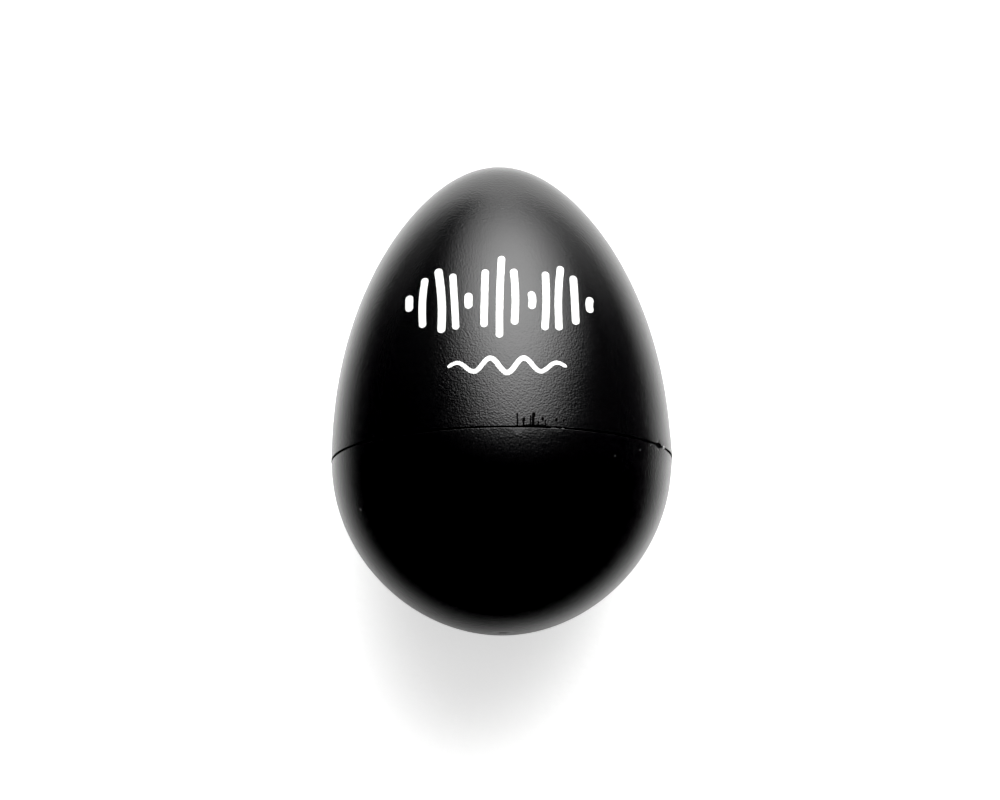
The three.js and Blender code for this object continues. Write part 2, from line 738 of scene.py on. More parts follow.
@dataclass(frozen=True)
class PaintedLightCard:
    """White card under the egg, for its sides to mirror, painted with light and shade: its colour
    and glow are graded so that it is bright close by and beyond the point, fades to black to the
    sides, and darkens behind the rounded end as a painted shadow of the egg.

    Args:
        shade: Its colour.
        middle: Where its bright middle lies, across the egg.
        painted_falloff_side: Distances across from there at which its painted light starts and ends
            fading to black.
        painted_shadow_end: Places along the egg, past its rounded end, where it ends and starts
            fading: a painted shadow of the egg.
        lift: Painted glow that the middle gives off by itself, though the card is no lamp.
        beyond: Distances past the egg's point at which the far glow starts and is full.
        beyond_spread: How fast the far glow's start draws back to each side.
        beyond_reach: Places across the egg between which the far glow changes.
        beyond_glow: The far glow at those places, painted on the card, which is no lamp.
        roughness: Its roughness.
        gloss: Its gloss.
    """

    shade: Color = (0.84, 0.84, 0.835)
    middle: float = 3 * MM
    painted_falloff_side: Span = (34 * MM, 75 * MM)
    painted_shadow_end: Span = (-49 * MM, -28 * MM)
    lift: float = 0.2
    beyond: Span = (20 * MM, 120 * MM)
    beyond_spread: float = 0.55
    beyond_reach: Span = (20 * MM, 90 * MM)
    beyond_glow: Span = (0.22, 0.75)
    roughness: float = 0.9
    gloss: float = 0.2

    def build(self) -> bpy.types.Material:
        """Builds the material from the place on the card.

        Returns:
            The material.
        """
        graph = Graph("painted_light_card")
        x, y, _ = graph.parts()
        aside = graph.math("ABSOLUTE", graph.math("SUBTRACT", x, self.middle))
        # Painted shadow: the card darkens behind the parting plane, towards the rounded end, where
        # the egg's shadow falls.
        behind = graph.math("MAXIMUM", graph.math("MULTIPLY", y, -1.0), 0.0)
        beside = graph.fit(graph.math("ADD", aside, behind), *self.painted_falloff_side, 1.0, 0.0)
        near = graph.math("MULTIPLY", beside, graph.fit(y, *self.painted_shadow_end, 0.0, 1.0))
        # Painted glow: the bright middle and the far side beyond the point give off light, though
        # the card is no lamp.
        lift = graph.math("MULTIPLY", graph.math("POWER", near, 3.0), self.lift)
        past = graph.sum(y, graph.math("ABSOLUTE", x), -self.beyond_spread)
        far = graph.fit(x, *self.beyond_reach, *self.beyond_glow)
        far = graph.math("MULTIPLY", far, graph.fit(past, *self.beyond, 0.0, 1.0))
        # Painted light and shade: the card's colour runs from black to white by how near and how lit
        # it is meant to be.
        graph.dress(graph.blend(near, (0.0, 0.0, 0.0), self.shade))
        graph.constant("Roughness", self.roughness)
        graph.constant("Specular IOR Level", self.gloss)
        graph.constant("Emission Color", WHITE)
        graph.join(graph.math("ADD", lift, far), graph.shader.inputs["Emission Strength"])
        return graph.material


@dataclass(frozen=True)
class Glow:
    """One soft patch of light on the light sheet.

    Args:
        radiance: Its brightness in the middle.
        rise: Its middle's height on the sheet, as a share of the sheet's distance.
        half_width: Half its width, as a share of the same distance.
        half_height: Half its height, as a share of the same distance.
        edge: How sharp its edge is.
    """

    radiance: float
    rise: float
    half_width: float
    half_height: float
    edge: float


@dataclass(frozen=True)
class LightSheet:
    """A diffusing sheet that glows in soft patches.

    Args:
        distance: Its distance from the egg.
        glows: Its patches.
    """

    distance: float
    glows: tuple[Glow, ...]

    def build(self) -> bpy.types.Material:
        """Builds the material, one soft-edged ellipse of light for each patch.

        Returns:
            The material.
        """
        graph = Graph("light_sheet")
        x, y, _ = graph.parts()
        total = 0.0
        for glow in self.glows:
            across = graph.math("DIVIDE", x, glow.half_width * self.distance)
            above = graph.math("SUBTRACT", y, glow.rise * self.distance)
            upward = graph.math("DIVIDE", above, glow.half_height * self.distance)
            square = graph.math(
                "ADD", graph.math("POWER", graph.math("ABSOLUTE", across), 2.0),
                graph.math("POWER", graph.math("ABSOLUTE", upward), 2.0),
            )
            fall = graph.math("MULTIPLY", graph.math("POWER", square, glow.edge / 2), -1.0)
            patch = graph.math("MULTIPLY", graph.math("EXPONENT", fall), glow.radiance)
            total = graph.math("ADD", total, patch)
        graph.constant("Base Color", (0, 0, 0, 1))
        graph.constant("Specular IOR Level", 0.0)
        graph.constant("Emission Color", WHITE)
        graph.join(total, graph.shader.inputs["Emission Strength"])
        return graph.material


class Finish(Enum):
    """The finishes of the object, each with the record's slot that it belongs to."""

    SHELL = ("shell_plastic", ShellPlastic())
    INK = ("shell_plastic", PrintInk())
    CEMENT = ("cement", SetCement())
    TORN = ("shell_plastic", TornPlastic())
    BURR = ("shell_plastic", TornPlastic((0.3, 0.3, 0.3), (0.85, 0.85, 0.84), "burr_plastic"))
    STEEL = ("shot_steel", ShotSteel())

    def __init__(self, slot: str, recipe: Recipe) -> None:
        """Keeps the slot and the recipe, and no material until one is asked for.

        Args:
            slot: The record's slot.
            recipe: What builds the material.
        """
        self.slot = slot
        self.recipe = recipe
        self._material = None

    def apply(self, obj: bpy.types.Object) -> None:
        """Gives an object this finish.

        Args:
            obj: The object.
        """
        if self._material is None:
            self._material = self.recipe.build()
        obj.data.materials.clear()
        obj.data.materials.append(self._material)


def dress(obj: bpy.types.Object, finish: Finish, body: str = BODY,
          replaced: tuple[str, ...] = ()) -> None:
    """Finishes a piece, sets it on its body and logs it.

    Args:
        obj: The piece.
        finish: Its finish.
        body: The body that it moves with.
        replaced: Nodes that it stands for.
    """
    finish.apply(obj)
    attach(obj, body)
    if replaced:
        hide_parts(*replaced)
    LOG.info("%s: %d faces on %s", obj.name, len(obj.data.polygons), body)


# ---------------------------------------------------------------------------
# The two half shells
# ---------------------------------------------------------------------------


@dataclass(frozen=True)
class Nick:
    """A chip out of the rims, where a knife or a knock took it.

    Args:
        angle: Its place round the axis.
        length: Half its length along the rim.
        height: How far the rounded half's rim is chipped back.
        depth: How far the edge is pushed in.
        far_share: Share of the chip that the pointed half's rim has.
        fade: Distance from the rim over which it fades.
        reach: How far to each side the rim is refined for it, in half lengths.
        band: How far from the parting plane the rim is refined for it.
        raggedness: How uneven it is.
        tear: Size of its unevenness.
    """

    angle: float = math.radians(65.0)
    length: float = 0.5 * MM
    height: float = 0.14 * MM
    depth: float = 0.05 * MM
    far_share: float = 0.25
    fade: float = 0.45 * MM
    reach: float = 3.0
    band: float = 1.2 * MM
    raggedness: float = 0.5
    tear: float = 0.25 * MM


@dataclass
class HalfShell:
    """One moulded half of the egg, solid-walled, with the joint inside its rim.

    Args:
        form: The egg's form.
        node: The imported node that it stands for.
        end: Which end of the egg it is.
        wall: Wall thickness.
        spigot_height: Height of the rounded half's lip inside the pointed half.
        spigot_thickness: Thickness of that lip.
        spigot_clearance: Gap round it.
        edge_round: Radius of the rim's outer edge.
        nick: The chip at the rim.
        steps: Facets round the axis.
        fine_reach: Length of wall from its start that has an even, fine spacing.
        inner_step: That spacing on the inner wall.
        inner_steps: Facets over the rest of the inner wall.
        outer_step: The spacing on the outer wall.
        outer_steps: Facets over the rest of the outer wall.
        edge_run: Where the outer wall takes over from the rim's edge, in edge radii.
        rim_wear: How rubbed the rim's edge is.
        rim_wear_width: Width of that rubbing.
        wear_patch: Size of its patches.
    """

    form: EggForm
    node: str
    end: EggEnd
    wall: float = 2.0 * MM
    spigot_height: float = 2.4 * MM
    spigot_thickness: float = 0.85 * MM
    spigot_clearance: float = 0.3 * MM
    edge_round: float = 0.04 * MM
    nick: Nick = field(default_factory=Nick)
    steps: int = 360
    fine_reach: float = 4.0 * MM
    inner_step: float = 0.5 * MM
    inner_steps: int = 28
    outer_step: float = 0.16 * MM
    outer_steps: int = 84
    edge_run: float = 1.6
    rim_wear: float = 0.1
    rim_wear_width: float = 0.12 * MM
    wear_patch: float = 1.1 * MM

    def wall_line(self, inset: float, near: float, fine_step: float,
                  coarse_steps: int) -> list[Point]:
        """Draws one wall, from near the rim to the pole.

        Args:
            inset: Distance inside the outer surface.
            near: Distance from the parting plane to start at.
            fine_step: Spacing over the first stretch, where the lip is.
            coarse_steps: Steps over the rest.

        Returns:
            The (radius, y) points along it.
        """
        length = self.end.length - inset
        fine_reach = near + self.fine_reach
        distances = [near + fine_step * i for i in range(int((fine_reach - near) / fine_step))]
        start = math.asin(fine_reach / length)
        for step in range(coarse_steps + 1):
            turn = start + (math.pi / 2 - start) * step / coarse_steps
            distances.append(length * math.sin(turn))
        return [
            (self.form.radius_at(self.end.side * d, inset), self.end.side * d) for d in distances
        ]

    def rim_edge(self) -> list[Point]:
        """Draws the rim's rounded outer edge.

        Returns:
            Its (radius, y) points, from the flat rim to the outer wall.
        """
        side = self.end.side
        outer = self.form.radius_at(side * self.form.rim)
        centre = (outer - self.edge_round, side * (self.form.rim + self.edge_round))
        return arc(centre, self.edge_round, -90 * side, 0, 4)

    def profile(self) -> list[Point]:
        """Returns the half's whole section, from axis to axis."""
        raise NotImplementedError

    def outer_line(self) -> list[Point]:
        """Returns the rim's edge and the outer wall, from the flat rim to the pole."""
        start = self.form.rim + self.edge_run * self.edge_round
        return self.rim_edge() + self.wall_line(0, start, self.outer_step, self.outer_steps)

    def is_outer(self, co: Vector) -> bool:
        """Tells whether a vertex is on the outer wall or the rim's edge."""
        r = math.hypot(co.x, co.z)
        return r > self.form.radius_at(co.y) - 2 * self.edge_round

    def shape_lip(self, bm: bmesh.types.BMesh) -> None:
        """Flares the outer wall to the lip at the parting line.

        Args:
            bm: The turned half.
        """
        for vert in bm.verts:
            if self.is_outer(vert.co):
                r = math.hypot(vert.co.x, vert.co.z)
                if r > 0:
                    vert.co.xz *= 1 + self.form.lip_at(angle_at(vert.co), vert.co.y) / r

    def cut_nick(self, bm: bmesh.types.BMesh) -> None:
        """Refines the rim round the nick and chips it back.

        Args:
            bm: The turned half.
        """
        nick = self.nick

        def near(co: Vector) -> bool:
            """Tells whether a vertex is close enough to the nick to be refined."""
            along = abs(angle_at(co) - nick.angle) * self.form.radius
            return along < nick.reach * nick.length and abs(co.y) < nick.band and self.is_outer(co)

        edges = [e for e in bm.edges if near(e.verts[0].co) and near(e.verts[1].co)]
        bmesh.ops.subdivide_edges(bm, edges=edges, cuts=2, use_grid_fill=True)
        side = self.end.side
        chip = nick.height if side < 0 else nick.far_share * nick.height
        for vert in bm.verts:
            if not near(vert.co):
                continue
            along = (angle_at(vert.co) - nick.angle) * self.form.radius
            ragged = 1 + nick.raggedness * noise.noise(vert.co / nick.tear)
            off_rim = abs(vert.co.y) - self.form.rim
            pull = bell(along, nick.length) * bell(off_rim, nick.fade) * ragged
            vert.co.y += side * chip * pull
            vert.co.xz *= 1 - nick.depth * pull / self.form.radius

    def wear_at(self, co: Vector) -> float:
        """Measures how rubbed or scraped the wall is.

        Args:
            co: A place on it.

        Returns:
            The wear there, from 0 to 1.
        """
        worn_rim = self.rim_wear * bell(abs(co.y) - self.form.rim, self.rim_wear_width)
        patchy = 0.5 + 0.5 * noise.noise(co / self.wear_patch)
        return worn_rim * patchy

    def mark_wear(self, obj: bpy.types.Object) -> None:
        """Writes the wear at each vertex for the finish to read."""
        wear = obj.data.attributes.new("wear", "FLOAT", "POINT")
        wear.data.foreach_set("value", [self.wear_at(v.co) for v in obj.data.vertices])

    def build(self) -> bpy.types.Object:
        """Builds and finishes the half.

        Returns:
            The half as one closed solid.
        """
        bm = turn_profile(self.profile(), self.steps)
        self.shape_lip(bm)
        self.cut_nick(bm)
        obj = mesh_object(f"{self.node}_moulding", bm)
        self.mark_wear(obj)
        dress(obj, Finish.SHELL, replaced=(self.node,))
        return obj


@dataclass
class UpperShell(HalfShell):
    """The pointed half: a rebate and a square shoulder take the other half's lip."""

    def profile(self) -> list[Point]:
        """Draws the half's section.

        Returns:
            Its (radius, y) points, from the inner pole round the rim to the outer pole.
        """
        inner = self.wall_line(self.wall, self.spigot_height, self.inner_step, self.inner_steps)
        inner.reverse()
        rebate = self.form.radius - self.wall + self.spigot_thickness + self.spigot_clearance
        corner = self.edge_round
        mouth = [(rebate, self.spigot_height), (rebate, self.form.rim + corner)]
        mouth += [(rebate + corner, self.form.rim)]
        return inner + mouth + self.outer_line()


@dataclass
class LowerShell(HalfShell):
    """The rounded half, whose lip stands up inside the pointed half.

    Args:
        scrape_x: Middle of the scraped patch under the parting line, in plan.
        scrape_width: Half its width at the rim.
        scrape_height: How far it tapers down from the rim.
        scrape_edge: How sharply the scrape comes up from its edge.
        spigot_lead: Size of the slope at the top of the lip.
        gate_radius: Radius of the moulding gate's mark on the rounded end.
        gate_depth: Depth of that mark.
        gate_groove: Half the width of its groove.
        gate_nub: Half the width of the nub inside it.
        gate_nub_height: Height of the nub, as a share of the depth.
        gate_zone: Share of the half's length past which the mark is cut.
    """

    scrape_x: float = 2.0 * MM
    scrape_width: float = 1.2 * MM
    scrape_height: float = 1.2 * MM
    scrape_edge: float = 4.0
    spigot_lead: float = 0.25 * MM
    gate_radius: float = 1.1 * MM
    gate_depth: float = 0.07 * MM
    gate_groove: float = 0.22 * MM
    gate_nub: float = 0.35 * MM
    gate_nub_height: float = 0.6
    gate_zone: float = 0.9

    def profile(self) -> list[Point]:
        """Draws the half's section.

        Returns:
            Its (radius, y) points, from the outer pole round the rim to the inner pole.
        """
        inner_radius = self.form.radius - self.wall
        spigot = inner_radius + self.spigot_thickness
        lead = self.spigot_lead
        top = self.spigot_height
        lip = [(spigot, -self.form.rim), (spigot, top - lead)]
        lip += [(spigot - lead, top), (inner_radius, top)]
        inner = self.wall_line(self.wall, 0.0, self.inner_step, self.inner_steps)
        return self.outer_line()[::-1] + lip + inner

    def wear_at(self, co: Vector) -> float:
        """Adds the scraped patch at the front to the worn rim.

        Args:
            co: A place on the wall.

        Returns:
            The wear there, from 0 to 1.
        """
        worn = super().wear_at(co)
        down = -co.y / self.scrape_height
        across = abs(co.x - self.scrape_x) / self.scrape_width
        if co.z > 0 and 0 < down and across + down < 1:
            worn = max(worn, min(1.0, self.scrape_edge * (1 - across - down)))
        return worn

    def outer_line(self) -> list[Point]:
        """Adds the gate's shallow mark, a ring with a nub inside it, at the pole.

        Returns:
            The outer wall's (radius, y) points.
        """
        marked = []
        for r, y in super().outer_line():
            groove = self.gate_depth * bell(r - self.gate_radius, self.gate_groove)
            nub = self.gate_nub_height * self.gate_depth * bell(r, self.gate_nub)
            marked.append((r, y + groove - nub if y < -self.gate_zone * self.end.length else y))
        return marked


# ---------------------------------------------------------------------------
# Strokes: print, cement and swarf laid on the wall
# ---------------------------------------------------------------------------


@dataclass
class WallStroke:
    """A closed stroke of material laid along a line on the egg's wall.

    Args:
        path: Gives the line's place for a share from 0 to 1, in the place's own coordinates.
        place: Puts a path point and a lift on the wall.
        half_width: Half the stroke's width.
        film: Height of its edge over the wall.
        crown: Extra height along its middle.
        taper: 0 for round ends, 1 for a stroke that thins all the way to its ends.
        ragged: How far its edges wander.
        steps: Facets along it.
        across: Facets across it.
        wander: Length over which its edges wander.
        merge: Distance within which its points are one.
    """

    path: Callable[[float], Vector]
    place: Callable[[float, float, float], Vector]
    half_width: float
    film: float = 0.02 * MM
    crown: float = 0.0
    taper: float = 0.0
    ragged: float = 0.0
    steps: int = 48
    across: int = 6
    wander: float = 0.4 * MM
    merge: float = 0.0005 * MM

    def width_at(self, share: float, run: float, length: float) -> float:
        """Measures the stroke, which has round ends.

        Args:
            share: Place along it, from 0 to 1.
            run: The same place as a distance from its start.
            length: Its length.

        Returns:
            Its half width there.
        """
        width = self.half_width * (1 - self.taper * abs(2 * share - 1) ** 1.5)
        to_end = min(run, length - run)
        if to_end < self.half_width:
            width *= math.sqrt(max(0.0, 1 - (1 - to_end / self.half_width) ** 2))
        return width

    def lay(self, bm: bmesh.types.BMesh) -> None:
        """Adds the stroke to a bmesh as a thin closed solid, flat first and then wrapped.

        Args:
            bm: The bmesh.
        """
        length = (self.path(1.0) - self.path(0.0)).length
        grid = bmesh.ops.create_grid(bm, x_segments=self.across, y_segments=self.steps, size=0.5)
        top = grid["verts"]
        for vert in top:
            across = 2 * vert.co.x
            share = 0.5 - 0.5 * math.cos(math.pi * (vert.co.y + 0.5))
            point = self.path(share)
            ahead = self.path(min(share + 0.01, 1.0)) - self.path(max(share - 0.01, 0.0))
            normal = Vector((-ahead.y, ahead.x)).normalized()
            width = self.width_at(share, share * length, length)
            wander = self.ragged * noise.noise(Vector((point.x, point.y, across)) / self.wander)
            point = point + normal * across * (width + wander * width / self.half_width)
            crown = self.crown * math.sqrt(max(0.0, 1 - across**2)) * width / self.half_width
            vert.co = (point.x, point.y, self.film + crown)
        faces = list({face for vert in top for face in vert.link_faces})
        made = bmesh.ops.extrude_face_region(bm, geom=faces, use_keep_orig=True)
        under = [item for item in made["geom"] if isinstance(item, bmesh.types.BMVert)]
        for vert in under:
            vert.co.z = -SINK
        bmesh.ops.remove_doubles(bm, verts=top, dist=self.merge)
        bmesh.ops.remove_doubles(bm, verts=[v for v in under if v.is_valid], dist=self.merge)
        solid = {v for v in top + under if v.is_valid}
        for vert in solid:
            vert.co = self.place(*vert.co)
        bmesh.ops.recalc_face_normals(bm, faces=list({f for v in solid for f in v.link_faces}))


def strokes_object(name: str, strokes: Iterable[WallStroke]) -> bpy.types.Object:
    """Joins strokes into one object.

    Args:
        name: The object's name.
        strokes: The strokes.

    Returns:
        The object.
    """
    bm = bmesh.new()
    for stroke in strokes:
        stroke.lay(bm)
    return mesh_object(name, bm, smooth_angle=60)


@dataclass
class PrintedMotif:
    """A generic printed motif: hand-drawn bars of a shaken rhythm over one wavy line.

    Args:
        form: The egg's form.
        bars: Number of bars on each side of the middle one.
        pitch: Distance between bars.
        middle_y: Place of the bars' middle along the axis.
        low_bar: Height of the shortest bar.
        high_bar: Extra height of the tallest.
        beat: Bars from one beat's peak to the next.
        bar_width: Width of a bar.
        wave_y: Place of the wavy line along the axis.
        wave_length: Its length.
        wave_height: Half its swing.
        wave_turns: Its number of waves.
        wave_width: Its width.
        wave_x: Place of its middle across the egg.
        wave_fade: Share of its swing that is left at its ends.
        wave_taper: How much it thins towards its ends.
        fall: Loss of height from one bar to the next, away from the middle.
        height_error: Range of the hand's error in a bar's height, as a factor.
        width_error: The same for its width.
        x_error: The same for its place across, in millimetres.
        y_error: The same for its place along, in millimetres.
        lean_error: The same for its lean, as a slope.
        bow_error: The same for its bow, in millimetres.
        ragged: How far the printed edges wander.
        seed: Seed of the hand's small errors.
    """

    form: EggForm
    bars: int = 6
    pitch: float = 1.82 * MM
    middle_y: float = 16.3 * MM
    low_bar: float = 2.2 * MM
    high_bar: float = 8.0 * MM
    beat: int = 4
    bar_width: float = 0.92 * MM
    wave_y: float = 7.6 * MM
    wave_length: float = 14.2 * MM
    wave_height: float = 0.95 * MM
    wave_turns: float = 3.5
    wave_width: float = 0.66 * MM
    wave_x: float = 0.8 * MM
    wave_fade: float = 0.35
    wave_taper: float = 0.35
    fall: float = 0.03
    height_error: Span = (0.93, 1.07)
    width_error: Span = (0.92, 1.08)
    x_error: Span = (-0.12, 0.12)
    y_error: Span = (-0.3, 0.3)
    lean_error: Span = (-0.05, 0.07)
    bow_error: Span = (-0.25, 0.25)
    ragged: float = 0.02 * MM
    seed: int = 11

    def bar(self, index: int, hand: random.Random) -> WallStroke:
        """Draws one bar, with the small errors of a hand.

        Args:
            index: Its place, counted from the middle bar.
            hand: The hand's random errors.

        Returns:
            The bar.
        """
        swing = abs(math.cos(math.pi * index / self.beat))
        height = self.low_bar + self.high_bar * swing * (1 - self.fall * abs(index))
        height *= hand.uniform(*self.height_error)
        x = index * self.pitch + hand.uniform(*self.x_error) * MM
        y = self.middle_y + hand.uniform(*self.y_error) * MM
        lean = hand.uniform(*self.lean_error)
        bow = hand.uniform(*self.bow_error) * MM

        def path(share: float) -> Vector:
            """Returns the bar's middle line at a share of its height."""
            along = (share - 0.5) * height
            return Vector((x + lean * along + bow * math.sin(math.pi * share), y + along))

        half_width = self.bar_width / 2 * hand.uniform(*self.width_error)
        return WallStroke(path, self.form.plan_point, half_width, ragged=self.ragged)

    def wave(self) -> WallStroke:
        """Draws the wavy line under the bars.

        Returns:
            The line.
        """

        def path(share: float) -> Vector:
            """Follows the line's middle.

            Args:
                share: Place along it, from 0 to 1.

            Returns:
                The place in plan.
            """
            swing = math.sin(math.tau * self.wave_turns * share)
            fade = self.wave_fade + (1 - self.wave_fade) * math.sin(math.pi * share)
            x = (share - 0.5) * self.wave_length + self.wave_x
            return Vector((x, self.wave_y + self.wave_height * swing * fade))

        return WallStroke(
            path, self.form.plan_point, self.wave_width / 2, taper=self.wave_taper,
            ragged=self.ragged, steps=220,
        )

    def build(self) -> bpy.types.Object:
        """Builds and finishes the print.

        Returns:
            The print.
        """
        hand = random.Random(self.seed)
        strokes = [self.bar(index, hand) for index in range(-self.bars, self.bars + 1)]
        obj = strokes_object("pad_print", strokes + [self.wave()])
        dress(obj, Finish.INK)
        return obj


@dataclass(frozen=True)
class Run:
    """A run of cement that crept out of the seam over the wall and set.

    Args:
        x: Its place across the egg, in plan.
        start: Where it starts, along the axis.
        end: Where it ends.
        width: Its width.
        crown: Its height.
    """

    x: float
    start: float
    end: float
    width: float
    crown: float = 0.03 * MM


@dataclass
class Cement:
    """The set cement: the bead in the seam, and the runs and smears that left it.

    Args:
        form: The egg's form.
        runs: The runs at the front.
        smears: The smears along the seam: first and last angle in degrees, y and width.
        setback: Distance of the bead's face inside the surface.
        crown: Bulge of its face.
        depth: Distance of the bead's inner edge inside the surface.
        squeeze: How uneven the squeezed face is.
        squeeze_sizes: Sizes of its large and small unevenness.
        face_steps: Facets across its face.
        steps: Facets round the bead.
        run_drift: How far a run bends aside as it flows.
        smear_drift: The same for a smear.
        drift_size: Length over which they bend.
    """

    form: EggForm
    runs: tuple[Run, ...] = (
        Run(1.93 * MM, 0.1 * MM, 1.65 * MM, 0.2 * MM),
        Run(2.63 * MM, 0.1 * MM, 0.9 * MM, 0.24 * MM),
        Run(2.73 * MM, 0.6 * MM, 1.15 * MM, 0.36 * MM),
        Run(3.5 * MM, 0.1 * MM, 1.45 * MM, 0.16 * MM),
        Run(3.78 * MM, 0.1 * MM, 1.25 * MM, 0.34 * MM),
        Run(3.88 * MM, 1.15 * MM, 1.8 * MM, 0.42 * MM, 0.05 * MM),
        Run(4.38 * MM, 0.1 * MM, 0.75 * MM, 0.22 * MM),
        Run(4.93 * MM, 0.8 * MM, 1.25 * MM, 0.34 * MM, 0.05 * MM),
        Run(5.23 * MM, 0.1 * MM, 0.95 * MM, 0.16 * MM),
        Run(6.53 * MM, 0.75 * MM, 1.2 * MM, 0.3 * MM, 0.05 * MM),
        Run(7.38 * MM, 0.8 * MM, 1.1 * MM, 0.22 * MM),
    )
    smears: tuple[tuple[float, float, float, float], ...] = (
        (4.5, 22.0, 0.14 * MM, 0.16 * MM),
        (8.0, 15.0, 0.26 * MM, 0.14 * MM),
        (47.0, 66.0, 0.02 * MM, 0.34 * MM),
        # Partly painted shade: the smears over the nick and at the seam's right end are dark,
        # gloss-free cement that keeps the gouge and the seam's end black.
        (62.4, 67.3, 0.0, 0.66 * MM),
        (70.5, 92.0, 0.0, 0.4 * MM),
        (-92.0, -52.0, 0.0, 0.34 * MM),
    )
    setback: float = 0.26 * MM
    crown: float = 0.06 * MM
    depth: float = 0.85 * MM
    squeeze: float = 0.06 * MM
    squeeze_sizes: Span = (2.2 * MM, 0.6 * MM)
    face_steps: int = 8
    steps: int = 360
    run_drift: float = 0.06 * MM
    smear_drift: float = 0.03 * MM
    drift_size: float = 0.5 * MM

    def bead(self) -> bpy.types.Object:
        """Builds the ring of cement in the seam, its face uneven as it was squeezed.

        Returns:
            The ring.
        """
        rim = self.form.rim
        inner = self.form.radius - self.depth
        face = self.form.radius - self.setback - self.crown
        section = [(inner, rim), (inner, -rim)]
        for step in range(self.face_steps + 1):
            turn = math.radians(-90 + 180 / self.face_steps * step)
            section.append((face + self.crown * math.cos(turn), rim * math.sin(turn)))
        large, small = self.squeeze_sizes
        bm = turn_profile(section, self.steps)
        for vert in bm.verts:
            if math.hypot(vert.co.x, vert.co.z) > face - HAIR:
                uneven = noise.noise(vert.co / large) + 0.5 * noise.noise(vert.co / small)
                vert.co.xz *= 1 + (self.squeeze * uneven) / self.form.radius
        obj = mesh_object("cement_ring", bm, smooth_angle=50)
        dress(obj, Finish.CEMENT, replaced=("cement_bead",))
        return obj

    def run_stroke(self, run: Run) -> WallStroke:
        """Draws one run, bent a little as it flowed.

        Args:
            run: The run.

        Returns:
            Its stroke.
        """

        def path(share: float) -> Vector:
            """Follows the run's middle.

            Args:
                share: Place along it, from 0 to 1.

            Returns:
                The place in plan.
            """
            y = run.start + (run.end - run.start) * share
            drift = self.run_drift * noise.noise(Vector((run.x, y, 0)) / self.drift_size)
            return Vector((run.x + drift, y))

        return WallStroke(
            path, self.form.plan_point, run.width / 2, film=0.004 * MM, crown=run.crown,
            ragged=0.03 * MM, steps=24, across=8,
        )

    def smear_stroke(self, first: float, last: float, y: float, width: float) -> WallStroke:
        """Draws a smear that follows the seam, its edges uneven.

        Args:
            first: Angle at which it starts, in degrees from the top towards +X.
            last: Angle at which it ends.
            y: Its place along the axis.
            width: Its width.

        Returns:
            Its stroke.
        """
        start = math.radians(first) * self.form.radius
        length = math.radians(last - first) * self.form.radius

        def path(share: float) -> Vector:
            """Follows the smear's middle.

            Args:
                share: Place along it, from 0 to 1.

            Returns:
                The place on the girth.
            """
            along = start + length * share
            drift = self.smear_drift * noise.noise(Vector((along, y, 0)) / self.drift_size)
            return Vector((along, y + drift))

        return WallStroke(
            path, self.form.girth_point, width / 2, film=0.006 * MM, crown=0.01 * MM, taper=0.5,
            ragged=0.05 * MM, steps=90, across=6,
        )

    def build(self) -> None:
        """Builds and finishes the bead, the runs and the smears."""
        self.bead()
        runs = [self.run_stroke(run) for run in self.runs]
        smears = [self.smear_stroke(*smear) for smear in self.smears]
        dress(strokes_object("cement_runs", runs + smears), Finish.CEMENT)


@dataclass(frozen=True)
class Flake:
    """A small torn flake of plastic lying on the wall.

    Args:
        angle: Its place round the axis.
        y: Its place along the axis.
        length: Its length.
        width: Its width.
        lean: Its turn away from the axis, in degrees.
        crown: Its height.
    """

    angle: float
    y: float
    length: float
    width: float
    lean: float
    crown: float = 0.03 * MM


@dataclass
class Swarf:
    """The torn burr beside the nick and the few pale specks caught on the wall.

    Args:
        form: The egg's form.
        nick: The nick that the burr stands beside.
        burr_gap: Distance between the two round the girth.
        flakes: The specks.
    """

    form: EggForm
    nick: Nick = field(default_factory=Nick)
    burr_gap: float = 1.62 * MM
    flakes: tuple[Flake, ...] = (
        Flake(math.radians(59.0), -0.35 * MM, 0.24 * MM, 0.1 * MM, 20),
        Flake(math.radians(52.6), -1.3 * MM, 0.18 * MM, 0.08 * MM, -10, 0.02 * MM),
        Flake(math.radians(40.6), -2.6 * MM, 0.22 * MM, 0.08 * MM, 35, 0.01 * MM),
        Flake(math.radians(-60.8), -7.6 * MM, 0.36 * MM, 0.1 * MM, -35),
        Flake(math.radians(-18), 29.8 * MM, 0.16 * MM, 0.1 * MM, 0),
        Flake(math.radians(17.5), -0.06 * MM, 1.0 * MM, 0.07 * MM, 88),
        Flake(math.radians(20.3), -0.04 * MM, 0.4 * MM, 0.08 * MM, 88),
    )

    def stroke(self, flake: Flake) -> WallStroke:
        """Lays one flake on the wall.

        Args:
            flake: The flake.

        Returns:
            Its stroke.
        """
        turn = math.radians(flake.lean)

        def path(share: float) -> Vector:
            """Follows the flake's middle.

            Args:
                share: Place along it, from 0 to 1.

            Returns:
                The place on the girth.
            """
            along = (share - 0.5) * flake.length
            across = flake.angle * self.form.radius + along * math.sin(turn)
            return Vector((across, flake.y + along * math.cos(turn)))

        return WallStroke(
            path, self.form.girth_point, flake.width / 2, film=0.005 * MM, crown=flake.crown,
            taper=0.5, ragged=0.04 * MM, steps=14, across=6,
        )

    def build(self) -> None:
        """Builds and finishes the specks and the burr."""
        strokes = [self.stroke(flake) for flake in self.flakes]
        dress(strokes_object("rim_swarf", strokes), Finish.TORN)
        angle = self.nick.angle + self.burr_gap / self.form.radius
        burr = Flake(angle, 0.04 * MM, 0.42 * MM, 0.56 * MM, 25, 0.1 * MM)
        dress(strokes_object("rim_burr", [self.stroke(burr)]), Finish.BURR)


# ---------------------------------------------------------------------------
# Shot
# ---------------------------------------------------------------------------


